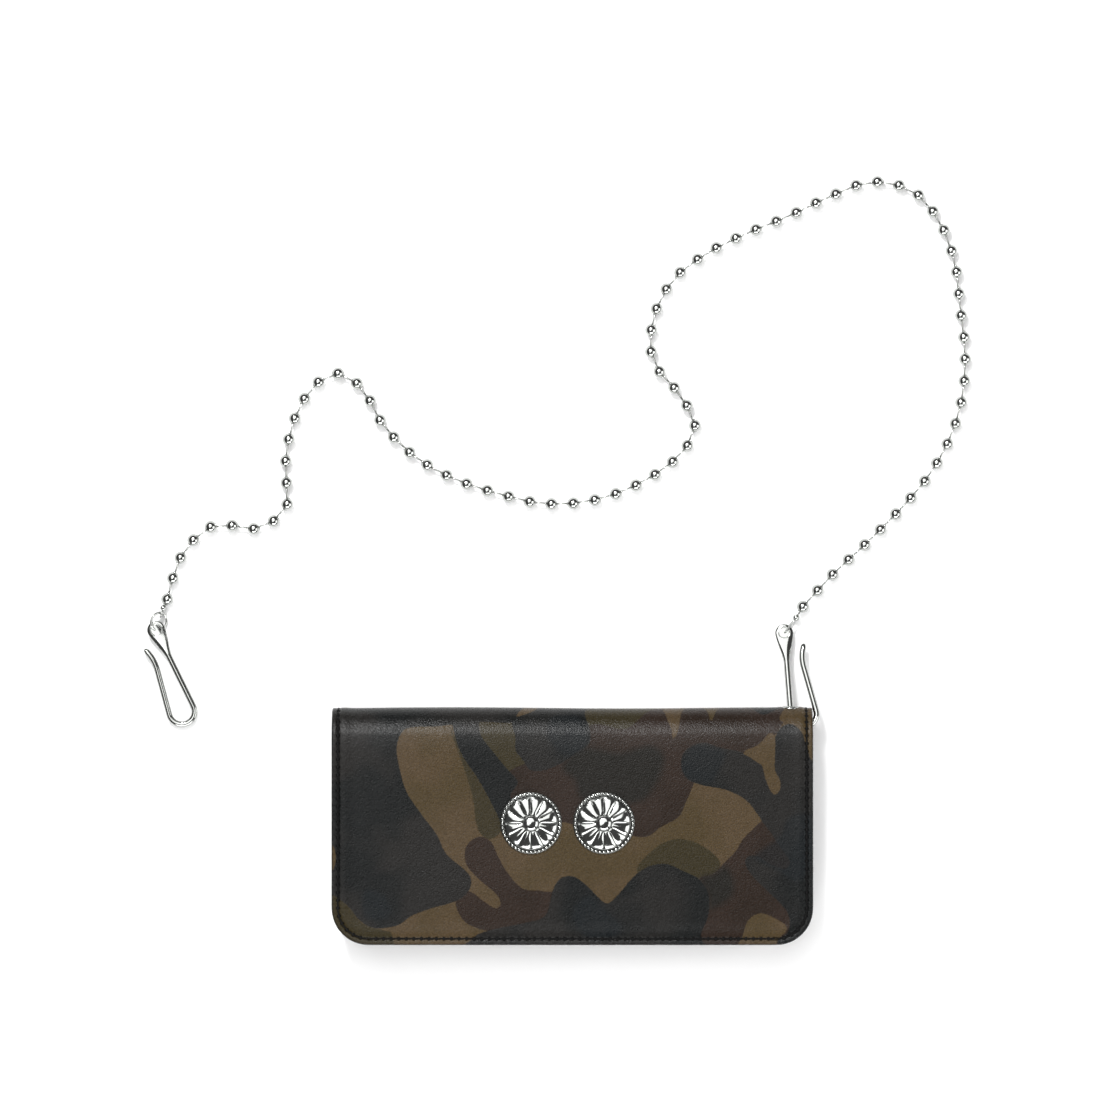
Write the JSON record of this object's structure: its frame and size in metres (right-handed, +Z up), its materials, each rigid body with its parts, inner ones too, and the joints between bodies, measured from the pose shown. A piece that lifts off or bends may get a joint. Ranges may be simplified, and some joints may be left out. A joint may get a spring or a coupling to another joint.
{
  "type": "chain wallet",
  "caption": "Long bifold leather wallet with a camouflage print, lined pockets, zipped coin pocket, round conchos, an eyelet and a ball chain with J-hooks.",
  "frame": {"origin": "middle of the closed wallet's footprint, on the surface it lies on; the chain and its hooks are left out of the footprint", "axes": "+X along the fold towards the end with the eyelet, +Y from the open edge towards the fold, +Z up out of the front cover"},
  "size_m": [0.3371, 0.3124, 0.0262],
  "materials": {
    "printed_leather": "soft sheen, fine grain, camouflage print",
    "lining_leather": "matt",
    "pocket_leather": "soft sheen, smooth",
    "thread": "waxed thread",
    "zip_tape": "woven",
    "zip_metal": "satin, aged",
    "bright_metal": "polished"
  },
  "bodies": {
    "back_half": {"outer_leather_back": "printed_leather", "lining_back": "lining_leather", "stitching_back": "thread", "bill_gusset_left": "pocket_leather", "bill_gusset_right": "pocket_leather", "bill_bottom_welt": "pocket_leather", "coin_pocket_rear_wall": "pocket_leather", "coin_pocket_edge_strip": "pocket_leather", "coin_pocket_front_wall": "pocket_leather", "zipper_tape_rear": "zip_tape", "zipper_tape_front": "zip_tape", "zipper_teeth_rear": "zip_metal", "zipper_teeth_front": "zip_metal", "zipper_stops": "zip_metal", "eyelet": "bright_metal", "eyelet_washer": "bright_metal"},
    "front_half": {"outer_leather_front": "printed_leather", "lining_front": "lining_leather", "stitching_front": "thread", "card_slot_left_1": "pocket_leather", "card_slot_left_2": "pocket_leather", "card_slot_left_3": "pocket_leather", "card_slot_left_4": "pocket_leather", "card_slot_right_1": "pocket_leather", "card_slot_right_2": "pocket_leather", "card_slot_right_3": "pocket_leather", "card_slot_right_4": "pocket_leather", "concho_left": "bright_metal", "concho_right": "bright_metal", "concho_screws": "bright_metal"},
    "zip_slider": {"zipper_slider": "zip_metal"},
    "zip_pull": {"zipper_pull": "zip_metal"},
    "wallet_hook_body": {"wallet_hook": "bright_metal"},
    "chain": {"near_end_link": "bright_metal", "chain_balls": "bright_metal", "chain_pins": "bright_metal", "far_end_link": "bright_metal", "jump_ring": "bright_metal"},
    "belt_hook_body": {"belt_hook": "bright_metal"}
  },
  "joints": [
    {"name": "cover_fold", "type": "hinge", "parent": "back_half", "child": "front_half", "pos_m": [0, 0.0369, 0.02215], "axis": [-1, 0, 0], "range_deg": [0, 180]},
    {"name": "zip_slide", "type": "slide", "parent": "back_half", "child": "zip_slider", "axis": [-1, 0, 0], "range_m": [0, 0.14]},
    {"name": "zip_pull_tilt", "type": "hinge", "parent": "zip_slider", "child": "zip_pull", "pos_m": [0.07, 0.0339, 0.0106], "axis": [0, 0, -1], "range_deg": [0, 25]},
    {"name": "hook_swing", "type": "hinge", "parent": "back_half", "child": "wallet_hook_body", "pos_m": [0.0887, 0.04585, 0.011], "axis": [0, 0, 1], "range_deg": [-6, 6]},
    {"name": "chain_swivel", "type": "hinge", "parent": "wallet_hook_body", "child": "chain", "pos_m": [0.08636, 0.07828, 0.00292], "axis": [0, 0, 1], "range_deg": [-25, 18]},
    {"name": "belt_hook_swivel", "type": "hinge", "parent": "chain", "child": "belt_hook_body", "pos_m": [-0.1695, 0.0795, 0.0028], "axis": [0, 0, 1], "range_deg": [-45, 45]}
  ]
}
